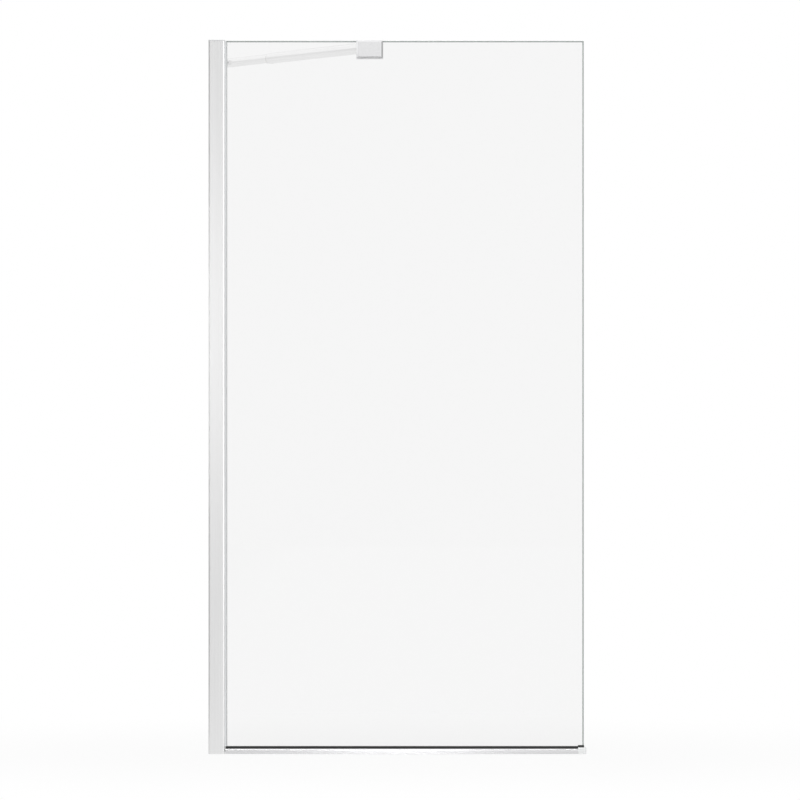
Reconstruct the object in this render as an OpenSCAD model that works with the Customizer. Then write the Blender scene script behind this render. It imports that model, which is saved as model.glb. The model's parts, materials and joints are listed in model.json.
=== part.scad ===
// Walk-in shower panel: a pane of toughened glass, held along the wall by an
// aluminium channel, along the tray by a low rail, and near its top edge by a
// telescopic bar that runs back to the wall at an angle.
// X runs out from the wall, Y through the glass with the bar on its +Y side,
// and Z up from the tray. The origin is on the wall, level with the tray, in
// the middle plane of the glass.

/* [Glass] */
// Width from the wall to the free edge of the glass
panel_w = 1000; // [800:10:1200]
// Height of the wall channel
panel_h = 1900; // [1700:10:2100]
// Distance of the top edge of the glass below the top of the channel
glass_drop = 1.5; // [0.5:0.5:2.5]
// Thickness of the glass
glass_t = 8; // [6:1:10]
// Width of the flat left along the middle of the round edges of the glass
glass_edge_flat = 0.6; // [0.4:0.1:2]
// Height of the lower edge of the glass above the tray
glass_lift = 5; // [4.5:0.5:6]

/* [Wall channel] */
// Width of the face of the channel, out from the wall
channel_face_w = 44.5; // [40:0.5:50]
// Thickness of the two side walls
channel_wall_t = 2.2; // [1.8:0.1:2.8]
// Thickness of the web that lies on the wall
channel_web_t = 2.5; // [2:0.1:3.5]
// Radius of the four long corners
channel_corner_r = 5; // [4:0.5:6]
// Height of the lands and lips that guide the glazing profile
guide_h = 1.1; // [0.8:0.1:1.6]
// Width of each guide land, which also carries the locking screws
land_w = 6; // [6:0.5:7]
// Distance from the mouth of the channel to the middle of each land
land_back = 7; // [6.5:0.5:8]
// Thickness of the cap on top of the channel
channel_cap_t = 2.5; // [2:0.1:4]
// Depth to which the caps reach down inside the profiles
cap_plug_l = 10; // [6:1:16]
// Diameter of the holes for the wall screws
wall_hole_d = 5.5; // [4.5:0.5:6.5]
// Distance from each end of the channel to the nearest wall screw
wall_hole_inset = 100; // [60:10:160]
// Number of wall screws up the channel
wall_hole_count = 4; // [3:1:6]

/* [Glazing profile] */
// Length of profile that shows outside the channel
profile_reach = 3.5; // [3.5:0.5:12]
// Overall depth of the profile, most of it inside the channel
profile_depth = 38; // [36:0.5:42]
// Thickness of the two legs
profile_wall_t = 1.8; // [1.5:0.1:2.2]
// Thickness of the web between the legs
profile_web_t = 2; // [1.5:0.1:3]
// Depth to which the glass stands in the profile
glass_bite = 19; // [16:0.5:20]
// Thickness of the packers between the web and the edge of the glass
packer_t = 3; // [2:0.5:5]
// Length of each packer and setting block
block_l = 60; // [40:5:100]
// Gap on each side of the glass that the glazing gaskets fill
glazing_gap = 2.6; // [2.2:0.1:3.2]
// Height of the nib that keeps each gasket in
nib_h = 0.8; // [0.5:0.1:1]
// Width of the nibs of the glazing profile
nib_w = 1; // [0.8:0.1:1.5]
// Thickness of the cap on top of the profile
profile_cap_t = 2; // [1.5:0.1:3]
// How much further the profile can slide into the channel
travel_in = 1; // [0.5:0.5:2.5]

/* [Locking screws] */
// Number of locking screws up the channel
lock_count = 3; // [2:1:5]
// Distance from each end of the channel to the nearest locking screw
lock_inset = 150; // [120:10:300]
// Diameter of every grub screw
grub_d = 5; // [4:1:5]
// Width across the flats of the sockets in the grub screws
grub_key = 2.5; // [2:0.5:2.5]

/* [Floor rail] */
// Height of the rail
rail_h = 15; // [14:0.5:18]
// Gap left between the rail and the channel with the profile fully in
rail_end_gap = 0.5; // [0.5:0.1:2]
// Thickness of the side walls of the rail
rail_wall_t = 3.3; // [2.6:0.1:4]
// Thickness of the floor of the rail
rail_floor_t = 2; // [1.5:0.1:2.5]
// Radius of the two upper corners
rail_corner_r = 5; // [4:0.5:6]
// Gap on each side of the glass that the rail gaskets fill
rail_gap = 2.7; // [2.2:0.1:3.2]
// Height of the dark bead that shows above the rail
bead_h = 5; // [4:0.5:8]
// Thickness of the bead, from the glass outwards
bead_t = 3.2; // [3:0.1:4]
// Height above the tray of the ribs that the gaskets snap over
rail_nib_z = 10.5; // [9.5:0.5:11.5]
// Distance from the free edge of the glass back to the end of the rail
rail_stop = 15.5; // [14:0.5:30]

/* [End cap] */
// Height of the cap on the end of the rail
end_cap_h = 17.5; // [16.5:0.5:20]
// How far the cap stands out beyond the glass
end_cap_out = 6.5; // [5:0.5:10]
// How far the cap stands out beyond the faces of the rail
end_cap_side = 0.6; // [0.3:0.1:1.5]
// Radius of the upright corners at the end of the cap
end_cap_r = 7; // [5:0.5:9]
// Thickness of the seal where it goes round the free edge of the glass
seal_wrap = 0.6; // [0.4:0.1:1.5]

/* [Clamp] */
// Distance from the wall to the middle of the clamp
clamp_x = 430; // [400:5:470]
// Width of the clamp
clamp_w = 71; // [66:1:90]
// Height of the clamp
clamp_h = 48.5; // [48:0.5:70]
// How far the clamp stands up beyond the top edge of the glass
clamp_rise = 0.5; // [0:0.5:2]
// Thickness of the front plate
clamp_front_t = 12; // [11:0.5:16]
// Bevel round the face of the front plate
clamp_bevel = 5; // [2:0.5:6]
// Thickness of the rear plate
clamp_rear_t = 8; // [7:0.5:12]
// Bevel round the outer face of the rear plate and of the wall bracket
plate_bevel = 2.5; // [1:0.5:3]
// Thickness of the pads between the plates and the glass
pad_t = 1.5; // [1:0.1:2.5]
// Distance by which the pads stay inside the plates
pad_inset = 1; // [0.5:0.1:2]
// Diameter of the clamp bolts
bolt_d = 8; // [6:1:8]
// Distance between the two clamp bolts
bolt_pitch = 44; // [42:1:46]
// Distance of the bolts below the top edge of the glass
bolt_drop = 26.5; // [25:0.5:30]
// Wall thickness of the sleeves in the holes through the glass
sleeve_t = 3; // [2:0.5:4]
// Length of thread in the front plate
thread_l = 7.5; // [6:0.5:8]

/* [Knuckles] */
// Height of the middle of the bar below the top edge of the glass
bar_drop = 14; // [13:0.5:16]
// Distance from a plate to the middle of its hinge pin
knuckle_reach = 17; // [17:0.5:24]
// Thickness of the tongue on each plate
tongue_t = 10; // [8:0.5:10]
// Width of the tongue
tongue_w = 18; // [16:0.5:18]
// Diameter of the hinge pins
pin_d = 8; // [6:0.5:8]
// Diameter of the heads of the hinge pins
pin_head_d = 13; // [11:0.5:13]
// Thickness of the heads of the hinge pins
pin_head_t = 2.5; // [2:0.1:3]
// Depth of the head of each pin below the top of its fork
pin_sink = 1.8; // [1.8:0.1:2]
// Depth of the slot in each fork, from the middle of the pin
fork_slot = 10.5; // [10:0.5:12]
// Distance from the middle of the pin to the end of the tube
fork_shoulder = 15; // [14.5:0.5:20]
// Length of the plug on each fork inside its tube
fork_plug_l = 30; // [24:1:40]

/* [Support bar] */
// Angle between the bar and the glass, seen from above
bar_angle = 45; // [40:1:50]
// Outside diameter of the outer tube
outer_d = 30; // [29.5:0.5:32]
// Outside diameter of the inner tube
inner_d = 25; // [25:0.5:25.5]
// Wall thickness of both tubes
tube_wall_t = 1.5; // [1.2:0.1:1.6]
// Length of the outer tube
outer_l = 380; // [350:5:400]
// Length of the inner tube
inner_l = 380; // [350:5:385]
// Length of the guide bush inside the mouth of the outer tube
bush_l = 24; // [20:1:30]
// Thickness of the rim of the guide bush
bush_rim_t = 2; // [1:0.5:3]
// Distance from the mouth of the outer tube back to its locking screw
bar_lock_back = 12; // [8:1:16]
// Length of the glide that closes the hidden end of the inner tube
glide_l = 4; // [3:0.5:6]

/* [Wall bracket] */
// Width and height of the bracket
bracket_w = 50; // [50:1:60]
// Thickness of the bracket
bracket_t = 8; // [7:0.5:12]
// Distance between the two screws of the bracket
bracket_pitch = 34; // [34:1:38]

/* [Clearances] */
// Gap between the glazing profile and the channel
slide_gap = 0.3; // [0.2:0.05:0.5]
// Gap round a pin that turns
running_gap = 0.05; // [0.02:0.01:0.08]
// Gap round a part that is held in a hole
fit_gap = 0.05; // [0.02:0.01:0.1]
// Gap between pieces that pass each other or that lie loose in a slot
free_gap = 0.3; // [0.2:0.05:0.4]

/* [Hidden] */
$fn = 96;

// Small overlap that lets one shape cut or join another cleanly
eps = 1;
// Width of a hexagon socket across its flats, as a share of its shank's diameter
key_share = 0.6;
// Depth of the socket in the head of a hinge pin, as a share of the head's thickness
pin_socket_share = 0.8;
// Places of the setting blocks along the glass, as shares of its width
block_places = [0.25, 0.75];

// Half widths across the glass, from its middle plane outwards
glass_half = glass_t / 2;
glass_edge_r = (glass_t - glass_edge_flat) / 2;
pocket_half = glass_half + glazing_gap;
profile_half = pocket_half + profile_wall_t;
mouth_half = profile_half + slide_gap;
cavity_half = mouth_half + guide_h;
channel_half = cavity_half + channel_wall_t;

// Places along X, out from the wall
profile_front = channel_face_w + profile_reach;
profile_back = profile_front - profile_depth;
glass_start = profile_front - glass_bite;
pocket_start = glass_start - packer_t;
web_start = pocket_start - profile_web_t;
land_x = channel_face_w - land_back;
rail_start = channel_face_w + travel_in + rail_end_gap;
rail_end = panel_w - rail_stop;
end_cap_x = panel_w + end_cap_out;

// Heights above the tray
bead_top = rail_h + bead_h;
profile_bottom = bead_top + free_gap;
glass_top = panel_h - glass_drop;
channel_top = panel_h - channel_cap_t;
profile_cap_top = channel_top - free_gap;
profile_top = profile_cap_top - profile_cap_t;
bar_z = glass_top - bar_drop;
bolt_z = glass_top - bolt_drop;

// Floor rail and its end cap
rail_slot_half = glass_half + rail_gap;
rail_half = rail_slot_half + rail_wall_t;
end_cap_half = rail_half + end_cap_side;
seal_half = glass_half + bead_t;

// Clamp, measured along Y from the middle plane of the glass
plate_y = glass_half + pad_t;
clamp_z = glass_top + clamp_rise - clamp_h;
pad_h = clamp_h - clamp_rise - 2 * pad_inset;
clamp_rear_y = plate_y + clamp_rear_t;
pivot_y = clamp_rear_y + knuckle_reach;
bolt_head_d = 2 * bolt_d;
glass_hole_d = bolt_d + 2 * (fit_gap + sleeve_t + fit_gap);

// Support bar, measured from the pin at the clamp to the pin at the wall
bracket_pivot_x = bracket_t + knuckle_reach;
bar_l = (clamp_x - bracket_pivot_x) / cos(bar_angle);
bracket_y = pivot_y + bar_l * sin(bar_angle);
outer_end = fork_shoulder + outer_l;
inner_end = bar_l - fork_shoulder;
inner_start = inner_end - inner_l;
outer_bore_d = outer_d - 2 * tube_wall_t;
inner_bore_d = inner_d - 2 * tube_wall_t;
slot_half = tongue_t / 2 + free_gap;
fork_screw_x = fork_shoulder + fork_plug_l / 2;
bar_lock_x = outer_end - bar_lock_back;
rim_d = outer_d - tube_wall_t;

// Outline w by h with four round corners, its lower left corner at the origin
module rounded_outline(w, h, r) {
  translate([r, 0]) square([w - 2 * r, h]);
  translate([0, r]) square([w, h - 2 * r]);
  for (x = [r, w - r])
    for (y = [r, h - r])
      translate([x, y]) circle(r);
}

// Outline w by h with only its upper right corner rounded
module bead_outline(w, h, r) {
  square([w - r, h]);
  square([w, h - r]);
  translate([w - r, h - r]) circle(r);
}

// Points round a section w long and t thick, with both corners of its front bevelled
function bevel_points(w, t, bevel) = [
  [0, bevel], [bevel, 0], [w - bevel, 0], [w, bevel], [w, t], [0, t]
];

// Upright plate, w along X, t along Y and h along Z, bevelled round its front
module bevelled_plate(w, h, t, bevel) {
  intersection() {
    linear_extrude(h) polygon(bevel_points(w, t, bevel));
    rotate([90, 0, 90])
      linear_extrude(w) polygon([for (p = bevel_points(h, t, bevel)) [p[1], p[0]]]);
  }
}

// Shape drawn across Y and Z, drawn out along X from x0 to x1
module along_x(x0, x1) {
  translate([x0, 0, 0]) rotate([90, 0, 90]) linear_extrude(x1 - x0) children();
}

// Round bar along Y from y0 to y1
module y_round(d, y0, y1) {
  translate([0, y0, 0]) rotate([-90, 0, 0]) cylinder(d = d, h = y1 - y0);
}

// Round bar along X from x0 to x1
module x_round(d, x0, x1) {
  translate([x0, 0, 0]) rotate([0, 90, 0]) cylinder(d = d, h = x1 - x0);
}

// Height of item i of n that are spread evenly, the outer ones at inset from the ends
function spread(i, n, inset) = inset + i * (panel_h - 2 * inset) / (n - 1);

// Headless screw along Z with its point at z0 and a hexagon socket in its upper end
module grub_screw(z0, z1) {
  socket_depth = (z1 - z0) / 2;
  difference() {
    translate([0, 0, z0]) cylinder(d = grub_d - 2 * fit_gap, h = z1 - z0);
    translate([0, 0, z1 - socket_depth])
      cylinder(d = grub_key / cos(30), h = socket_depth + eps, $fn = 6);
  }
}

// Section of the wall channel: round-cornered box, open at its mouth, with a
// guide land on each side of the cavity
module channel_section() {
  cavity_l = channel_face_w - channel_web_t - channel_wall_t;
  difference() {
    translate([0, -channel_half])
      rounded_outline(channel_face_w, 2 * channel_half, channel_corner_r);
    difference() {
      translate([channel_web_t, -cavity_half])
        rounded_outline(cavity_l, 2 * cavity_half, channel_corner_r - channel_wall_t);
      for (y = [-cavity_half - eps, mouth_half])
        translate([land_x - land_w / 2, y]) square([land_w, guide_h + eps]);
    }
    translate([channel_face_w / 2, -mouth_half]) square([channel_face_w, 2 * mouth_half]);
  }
}

module wall_channel() {
  color("gainsboro")
    difference() {
      linear_extrude(channel_top) channel_section();
      for (i = [0 : wall_hole_count - 1])
        translate([0, 0, spread(i, wall_hole_count, wall_hole_inset)])
          x_round(wall_hole_d, -eps, channel_web_t + eps);
      for (i = [0 : lock_count - 1])
        translate([land_x, 0, spread(i, lock_count, lock_inset)])
          y_round(grub_d, mouth_half - eps, channel_half + eps);
    }
}

// The cap has a slot at its mouth, so the glass can run under it and past it
module channel_cap() {
  slot_start = glass_start - travel_in - free_gap;
  plug_start = channel_web_t + fit_gap;
  plug_end = profile_back - travel_in - free_gap;
  color("whitesmoke") {
    translate([0, 0, channel_top])
      linear_extrude(channel_cap_t)
        difference() {
          translate([0, -channel_half])
            rounded_outline(channel_face_w, 2 * channel_half, channel_corner_r);
          translate([slot_start, -glass_half - free_gap])
            square([channel_face_w, glass_t + 2 * free_gap]);
        }
    for (side = [0, 1])
      mirror([0, side, 0])
        translate([plug_start, channel_corner_r / 2, channel_top - cap_plug_l])
          cube([
            plug_end - plug_start, cavity_half - channel_corner_r, cap_plug_l + channel_cap_t / 2
          ]);
  }
}

// Grub screws in the rear land, their points against the leg of the glazing profile
module locking_screws() {
  color("dimgray")
    for (i = [0 : lock_count - 1])
      translate([land_x, 0, spread(i, lock_count, lock_inset)])
        rotate([-90, 0, 0])
          grub_screw(profile_half + running_gap, channel_half - fit_gap);
}

// Pane with its edges ground round, and two holes for the bolts of the clamp
module glass_pane() {
  w = panel_w - glass_start;
  h = glass_top - glass_lift;
  color("honeydew", 0.4)
    difference() {
      translate([glass_start, 0, glass_lift])
        intersection() {
          linear_extrude(h)
            translate([0, -glass_half]) rounded_outline(w, glass_t, glass_edge_r);
          rotate([90, 0, 90])
            linear_extrude(w)
              translate([-glass_half, 0]) rounded_outline(glass_t, h, glass_edge_r);
        }
      at_clamp_bolts() y_round(glass_hole_d, -glass_t, glass_t);
    }
}

// H-shaped section: the glass stands in the front pocket behind two nibs, and
// the rear pocket leaves room for the heads of the wall screws
module glazing_profile() {
  color("lightgray")
    translate([0, 0, profile_bottom])
      linear_extrude(profile_top - profile_bottom)
        difference() {
          translate([profile_back, -profile_half])
            rounded_outline(profile_depth, 2 * profile_half, profile_wall_t / 2);
          difference() {
            translate([pocket_start, -pocket_half]) square([profile_depth, 2 * pocket_half]);
            for (y = [-pocket_half - eps, pocket_half - nib_h])
              translate([profile_front - profile_wall_t, y])
                square([nib_w, nib_h + eps]);
          }
          translate([profile_back - eps, -pocket_half])
            square([web_start - profile_back + eps, 2 * pocket_half]);
        }
}

module profile_cap() {
  color("whitesmoke") {
    translate([0, 0, profile_top])
      linear_extrude(profile_cap_t)
        difference() {
          translate([profile_back, -profile_half])
            rounded_outline(profile_depth, 2 * profile_half, profile_wall_t / 2);
          translate([glass_start - free_gap, -glass_half - free_gap])
            square([profile_depth, glass_t + 2 * free_gap]);
        }
    translate([profile_back + profile_wall_t, fit_gap - pocket_half, profile_top - cap_plug_l])
      cube([
        web_start - profile_back - profile_wall_t - fit_gap,
        2 * (pocket_half - fit_gap),
        cap_plug_l + profile_cap_t / 2
      ]);
  }
}

// Gasket pressed in beside the glass: a foot behind the nib, a neck past it and
// a round lip that closes the joint
module glazing_gasket() {
  foot_l = glass_bite / 2;
  lip_r = glazing_gap - nib_h / 2;
  neck_start = profile_front - profile_wall_t - fit_gap;
  color("dimgray")
    translate([0, glass_half, profile_bottom])
      linear_extrude(profile_top - profile_bottom) {
        translate([neck_start - foot_l, 0]) square([foot_l, glazing_gap]);
        translate([neck_start - foot_l / 2, 0])
          square([profile_front - neck_start + foot_l / 2, glazing_gap - nib_h]);
        intersection() {
          translate([profile_front, 0]) circle(lip_r);
          translate([profile_front - fit_gap, 0]) square(2 * lip_r);
        }
      }
}

module front_glazing_gasket() {
  mirror([0, 1, 0]) glazing_gasket();
}

module rear_glazing_gasket() {
  glazing_gasket();
}

module edge_packers() {
  color("dimgray")
    for (i = [0 : lock_count - 1])
      translate([pocket_start, -glass_half, spread(i, lock_count, lock_inset) - block_l / 2])
        cube([packer_t, glass_t, block_l]);
}

// Low U-shaped rail with ribs inside that keep its gaskets down
module floor_rail() {
  color("gainsboro")
    along_x(rail_start, rail_end)
      difference() {
        translate([-rail_half, -rail_corner_r])
          rounded_outline(2 * rail_half, rail_h + rail_corner_r, rail_corner_r);
        translate([-rail_half - eps, -rail_h]) square([2 * (rail_half + eps), rail_h]);
        difference() {
          translate([-rail_slot_half, rail_floor_t]) square([2 * rail_slot_half, rail_h]);
          for (y = [-rail_slot_half - eps, rail_slot_half - nib_h])
            translate([y, rail_nib_z]) square([nib_h + eps, nib_h]);
        }
      }
}

// Black strip with a foot below the ribs of the rail and a bead above the rail
module rail_gasket() {
  foot_z = glass_lift + free_gap;
  bead_r = bead_t / 2;
  color("black")
    along_x(rail_start, rail_end)
      translate([glass_half, 0]) {
        difference() {
          translate([0, foot_z]) square([rail_gap, rail_h - foot_z + bead_h / 2]);
          translate([rail_gap - nib_h - fit_gap, rail_nib_z - fit_gap])
            square([bead_t, nib_h + 2 * fit_gap]);
        }
        translate([0, rail_h]) bead_outline(bead_t, bead_h, bead_r);
      }
}

module front_rail_gasket() {
  mirror([0, 1, 0]) rail_gasket();
}

module rear_rail_gasket() {
  rail_gasket();
}

// Blocks that carry the weight of the glass on the floor of the rail
module setting_blocks() {
  block_half = rail_slot_half - fit_gap;
  glass_w = rail_end - rail_start;
  color("dimgray")
    for (share = block_places)
      translate([rail_start + share * glass_w - block_l / 2, -block_half, rail_floor_t])
        cube([block_l, 2 * block_half, glass_lift - rail_floor_t]);
}

// Cap that wraps the lower corner of the glass, with a tongue inside the rail
module rail_end_cap() {
  tongue_half = rail_slot_half - fit_gap;
  tongue_l = end_cap_out + rail_stop / 4;
  color("whitesmoke") {
    difference() {
      intersection() {
        along_x(rail_end, end_cap_x)
          translate([-end_cap_half, -rail_corner_r])
            rounded_outline(2 * end_cap_half, end_cap_h + rail_corner_r, rail_corner_r);
        translate([rail_end - 2 * end_cap_r, -end_cap_half, 0])
          linear_extrude(end_cap_h + eps)
            rounded_outline(end_cap_x - rail_end + 2 * end_cap_r, 2 * end_cap_half, end_cap_r);
      }
      translate([rail_end - eps, -glass_half - free_gap, glass_lift])
        cube([rail_stop + free_gap + eps, glass_t + 2 * free_gap, end_cap_h]);
    }
    translate([rail_end - tongue_l, -tongue_half, rail_floor_t + fit_gap])
      cube([
        tongue_l + rail_stop / 2, 2 * tongue_half, glass_lift - rail_floor_t - 2 * fit_gap
      ]);
  }
}

// Dark collar that closes the joint between the end cap and the corner of the glass
module end_cap_seal() {
  collar_r = bead_t / 2;
  color("black")
    translate([0, 0, end_cap_h])
      linear_extrude(bead_h)
        difference() {
          translate([rail_end - 2 * collar_r, -seal_half])
            rounded_outline(rail_stop + 2 * collar_r + seal_wrap, 2 * seal_half, collar_r);
          translate([rail_end - 3 * collar_r, -seal_half - eps])
            square([3 * collar_r, 2 * (seal_half + eps)]);
          translate([rail_end - glass_t, -glass_half])
            rounded_outline(rail_stop + glass_t, glass_t, glass_edge_r);
        }
}

// Places what follows at each clamp bolt
module at_clamp_bolts() {
  for (side = [-1, 1])
    translate([clamp_x + side * bolt_pitch / 2, 0, bolt_z]) children();
}

module clamp_front_plate() {
  color("silver")
    difference() {
      translate([clamp_x - clamp_w / 2, -plate_y - clamp_front_t, clamp_z])
        bevelled_plate(clamp_w, clamp_h, clamp_front_t, clamp_bevel);
      at_clamp_bolts() y_round(bolt_d + 2 * fit_gap, -plate_y - thread_l - fit_gap, 0);
    }
}

// Pad on the +Y side of the glass
module clamp_pad() {
  color("dimgray")
    difference() {
      translate([clamp_x - clamp_w / 2 + pad_inset, glass_half, clamp_z + pad_inset])
        cube([clamp_w - 2 * pad_inset, pad_t, pad_h]);
      at_clamp_bolts() y_round(bolt_d + 2 * fit_gap, 0, clamp_rear_y);
    }
}

module clamp_front_pad() {
  mirror([0, 1, 0]) clamp_pad();
}

module clamp_rear_pad() {
  clamp_pad();
}

// Flat tongue for a hinge pin: it stands out along +Y from y = 0 to the pin
module tongue() {
  difference() {
    translate([0, 0, -tongue_t / 2])
      linear_extrude(tongue_t) {
        translate([-tongue_w / 2, -eps]) square([tongue_w, knuckle_reach + eps]);
        translate([0, knuckle_reach]) circle(d = tongue_w);
      }
    translate([0, knuckle_reach, -tongue_t])
      cylinder(d = pin_d + 2 * running_gap, h = 2 * tongue_t);
  }
}

module clamp_rear_plate() {
  color("silver") {
    difference() {
      translate([clamp_x + clamp_w / 2, clamp_rear_y, clamp_z])
        rotate([0, 0, 180]) bevelled_plate(clamp_w, clamp_h, clamp_rear_t, plate_bevel);
      at_clamp_bolts() {
        y_round(bolt_d + 2 * fit_gap, 0, clamp_rear_y + eps);
        translate([0, clamp_rear_y - bolt_d / 2 - fit_gap, 0])
          rotate([-90, 0, 0])
            cylinder(d1 = bolt_d, d2 = bolt_head_d + 4 * fit_gap, h = bolt_d / 2 + 2 * fit_gap);
      }
    }
    translate([clamp_x, clamp_rear_y, bar_z]) tongue();
  }
}

// Sleeves that keep the bolts off the edges of the holes in the glass
module clamp_sleeves() {
  color("whitesmoke")
    at_clamp_bolts()
      difference() {
        y_round(glass_hole_d - 2 * fit_gap, -glass_half, glass_half);
        y_round(bolt_d + 2 * fit_gap, -glass_t, glass_t);
      }
}

// Countersunk socket screws put in from behind
module clamp_bolts() {
  key = bolt_d * key_share;
  color("dimgray")
    at_clamp_bolts()
      difference() {
        union() {
          y_round(bolt_d, -plate_y - thread_l, clamp_rear_y - bolt_d / 4);
          translate([0, clamp_rear_y - bolt_d / 2, 0])
            rotate([-90, 0, 0]) cylinder(d1 = bolt_d, d2 = bolt_head_d, h = bolt_d / 2);
        }
        translate([0, clamp_rear_y - bolt_d / 3, 0])
          rotate([-90, 0, 0]) cylinder(d = key / cos(30), h = bolt_d, $fn = 6);
      }
}

// Places what follows with the clamp's hinge pin at the origin and X along the bar
module along_bar() {
  translate([clamp_x, pivot_y, bar_z]) rotate([0, 0, 180 - bar_angle]) children();
}

// The same from the other end: the wall's hinge pin at the origin, X back along the bar
module from_wall() {
  along_bar() translate([bar_l, 0, 0]) rotate([0, 0, 180]) children();
}

// Forked end turned from round bar: two cheeks about the tongue, a shoulder for
// the tube and a plug inside it
module fork(od, plug_d) {
  tip_r = sqrt(od * od / 4 - slot_half * slot_half) + free_gap;
  difference() {
    union() {
      intersection() {
        x_round(od, -tip_r, fork_shoulder);
        union() {
          cylinder(r = tip_r, h = 2 * od, center = true);
          translate([0, -od, -od]) cube([2 * fork_shoulder, 2 * od, 2 * od]);
        }
      }
      x_round(plug_d, fork_shoulder - eps, fork_shoulder + fork_plug_l);
    }
    translate([-tip_r - eps, -od, -slot_half])
      cube([tip_r + eps + fork_slot, 2 * od, 2 * slot_half]);
    translate([0, 0, pin_sink - od / 2]) cylinder(d = pin_d + 2 * fit_gap, h = od);
    translate([0, 0, od / 2 - pin_sink - pin_head_t])
      cylinder(d = pin_head_d + 2 * fit_gap, h = od);
    translate([fork_screw_x, 0, -od]) cylinder(d = grub_d, h = od - plug_d / 4);
  }
}

// Hinge pin with a low head sunk into the upper cheek of its fork
module hinge_pin(od) {
  key = pin_d * key_share;
  head_top = od / 2 - pin_sink;
  difference() {
    union() {
      translate([0, 0, pin_sink + fit_gap - od / 2])
        cylinder(d = pin_d, h = head_top - pin_head_t / 2 + od / 2 - pin_sink - fit_gap);
      translate([0, 0, head_top - pin_head_t + fit_gap])
        cylinder(d = pin_head_d, h = pin_head_t - fit_gap);
    }
    translate([0, 0, head_top - pin_head_t * pin_socket_share])
      cylinder(d = key / cos(30), h = pin_head_t, $fn = 6);
  }
}

// Grub screw that comes up from below through the tube and into the plug of the fork
module fork_screw(od, plug_d) {
  color("dimgray")
    translate([fork_screw_x, 0, 0])
      mirror([0, 0, 1]) grub_screw(plug_d / 4 + fit_gap, od / 2 - fit_gap);
}

module clamp_fork() {
  color("silver") along_bar() fork(outer_d, outer_bore_d - 2 * fit_gap);
}

module clamp_hinge_pin() {
  color("dimgray") along_bar() hinge_pin(outer_d);
}

module clamp_fork_screw() {
  along_bar() fork_screw(outer_d, outer_bore_d);
}

module outer_tube() {
  color("gainsboro")
    along_bar()
      difference() {
        x_round(outer_d, fork_shoulder, outer_end);
        x_round(outer_bore_d, fork_shoulder - eps, outer_end + eps);
        for (x = [fork_screw_x, bar_lock_x])
          translate([x, 0, -outer_d]) cylinder(d = grub_d, h = outer_d);
      }
}

// Plastic bush that the inner tube runs in, with a rim over the mouth of the outer tube
module guide_bush() {
  color("whitesmoke")
    along_bar()
      difference() {
        union() {
          x_round(outer_bore_d - 2 * fit_gap, outer_end - bush_l, outer_end + eps);
          x_round(rim_d, outer_end, outer_end + bush_rim_t);
        }
        x_round(inner_d + 4 * running_gap, outer_end - 2 * bush_l, outer_end + bush_l);
        translate([bar_lock_x, 0, -outer_d]) cylinder(d = grub_d, h = outer_d);
      }
}

// Grub screw under the mouth of the outer tube that fixes the length of the bar
module bar_locking_screw() {
  color("dimgray")
    along_bar()
      translate([bar_lock_x, 0, 0])
        mirror([0, 0, 1]) grub_screw(inner_d / 2 + running_gap, outer_d / 2 - fit_gap);
}

module inner_tube() {
  color("gainsboro")
    along_bar()
      difference() {
        x_round(inner_d, inner_start, inner_end);
        x_round(inner_bore_d, inner_start - eps, inner_end + eps);
        translate([bar_l - fork_screw_x, 0, -inner_d]) cylinder(d = grub_d, h = inner_d);
      }
}

// Plug in the hidden end of the inner tube, its flange running in the outer tube
module tube_glide() {
  color("whitesmoke")
    along_bar() {
      x_round(outer_bore_d - 2 * free_gap, inner_start - glide_l, inner_start);
      x_round(inner_bore_d - 2 * fit_gap, inner_start - glide_l / 2, inner_start + 3 * glide_l);
    }
}

module bracket_fork() {
  color("silver") from_wall() fork(inner_d, inner_bore_d - 2 * fit_gap);
}

module bracket_hinge_pin() {
  color("dimgray") from_wall() hinge_pin(inner_d);
}

module bracket_fork_screw() {
  from_wall() fork_screw(inner_d, inner_bore_d);
}

// Square plate on the wall with a tongue for the bar and two countersunk screw holes
module wall_bracket() {
  sink = wall_hole_d / 2;
  color("silver")
    translate([0, bracket_y, bar_z]) {
      difference() {
        translate([bracket_t, -bracket_w / 2, -bracket_w / 2])
          rotate([0, 0, 90]) bevelled_plate(bracket_w, bracket_w, bracket_t, plate_bevel);
        for (side = [-1, 1])
          translate([0, 0, side * bracket_pitch / 2]) {
            x_round(wall_hole_d, -eps, bracket_t + eps);
            translate([bracket_t - sink, 0, 0])
              rotate([0, 90, 0])
                cylinder(d1 = wall_hole_d, d2 = 2 * wall_hole_d + 2 * fit_gap, h = sink + fit_gap);
          }
      }
      translate([bracket_t, 0, 0]) rotate([0, 0, -90]) tongue();
    }
}

wall_channel();
channel_cap();
locking_screws();
glass_pane();
glazing_profile();
profile_cap();
front_glazing_gasket();
rear_glazing_gasket();
edge_packers();
floor_rail();
front_rail_gasket();
rear_rail_gasket();
setting_blocks();
rail_end_cap();
end_cap_seal();
clamp_front_plate();
clamp_front_pad();
clamp_rear_plate();
clamp_rear_pad();
clamp_sleeves();
clamp_bolts();
clamp_fork();
clamp_hinge_pin();
clamp_fork_screw();
outer_tube();
guide_bush();
bar_locking_screw();
inner_tube();
tube_glide();
bracket_fork();
bracket_hinge_pin();
bracket_fork_screw();
wall_bracket();
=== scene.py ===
"""Glass shower panel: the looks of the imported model, in metres and in its frame.

X runs out from the wall, Y through the glass with the bar on its +Y side, Z up from the tray.
"""
import json
from math import radians

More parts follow.
